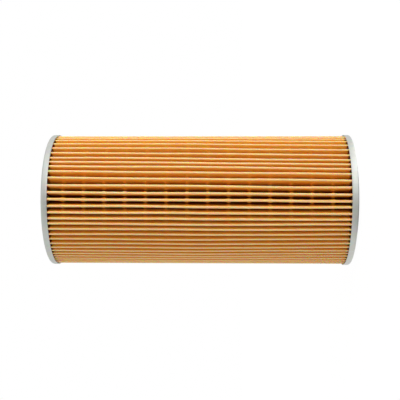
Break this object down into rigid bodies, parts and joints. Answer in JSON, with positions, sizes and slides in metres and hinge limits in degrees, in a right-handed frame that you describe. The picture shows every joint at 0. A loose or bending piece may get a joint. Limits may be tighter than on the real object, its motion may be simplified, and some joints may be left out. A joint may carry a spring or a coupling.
{
  "type": "hydraulic filter element",
  "caption": "Cylindrical hydraulic filter element: amber paper folded in deep pleats round a perforated steel tube, held between pressed steel end caps with flat gaskets.",
  "frame": {"origin": "centre of the lower gasket's sealing face, on the element's axis", "axes": "+Z along the element's axis, from the lower gasket to the upper one; -Y is the side that the picture shows, and +Y the side with the clipped seam"},
  "size_m": [0.13, 0.13, 0.3],
  "materials": {
    "filter_paper": "matte",
    "zinc_steel": "satin",
    "zinc_tube": "satin",
    "seal_rubber": "matte",
    "potting_compound": "satin"
  },
  "bodies": {
    "root": {"lower_gasket": "seal_rubber", "lower_end_cap": "zinc_steel", "lower_potting": "potting_compound", "centre_tube": "zinc_tube", "pleated_media": "filter_paper", "seam_clip": "zinc_tube", "upper_potting": "potting_compound", "upper_end_cap": "zinc_steel", "upper_gasket": "seal_rubber"}
  },
  "joints": []
}
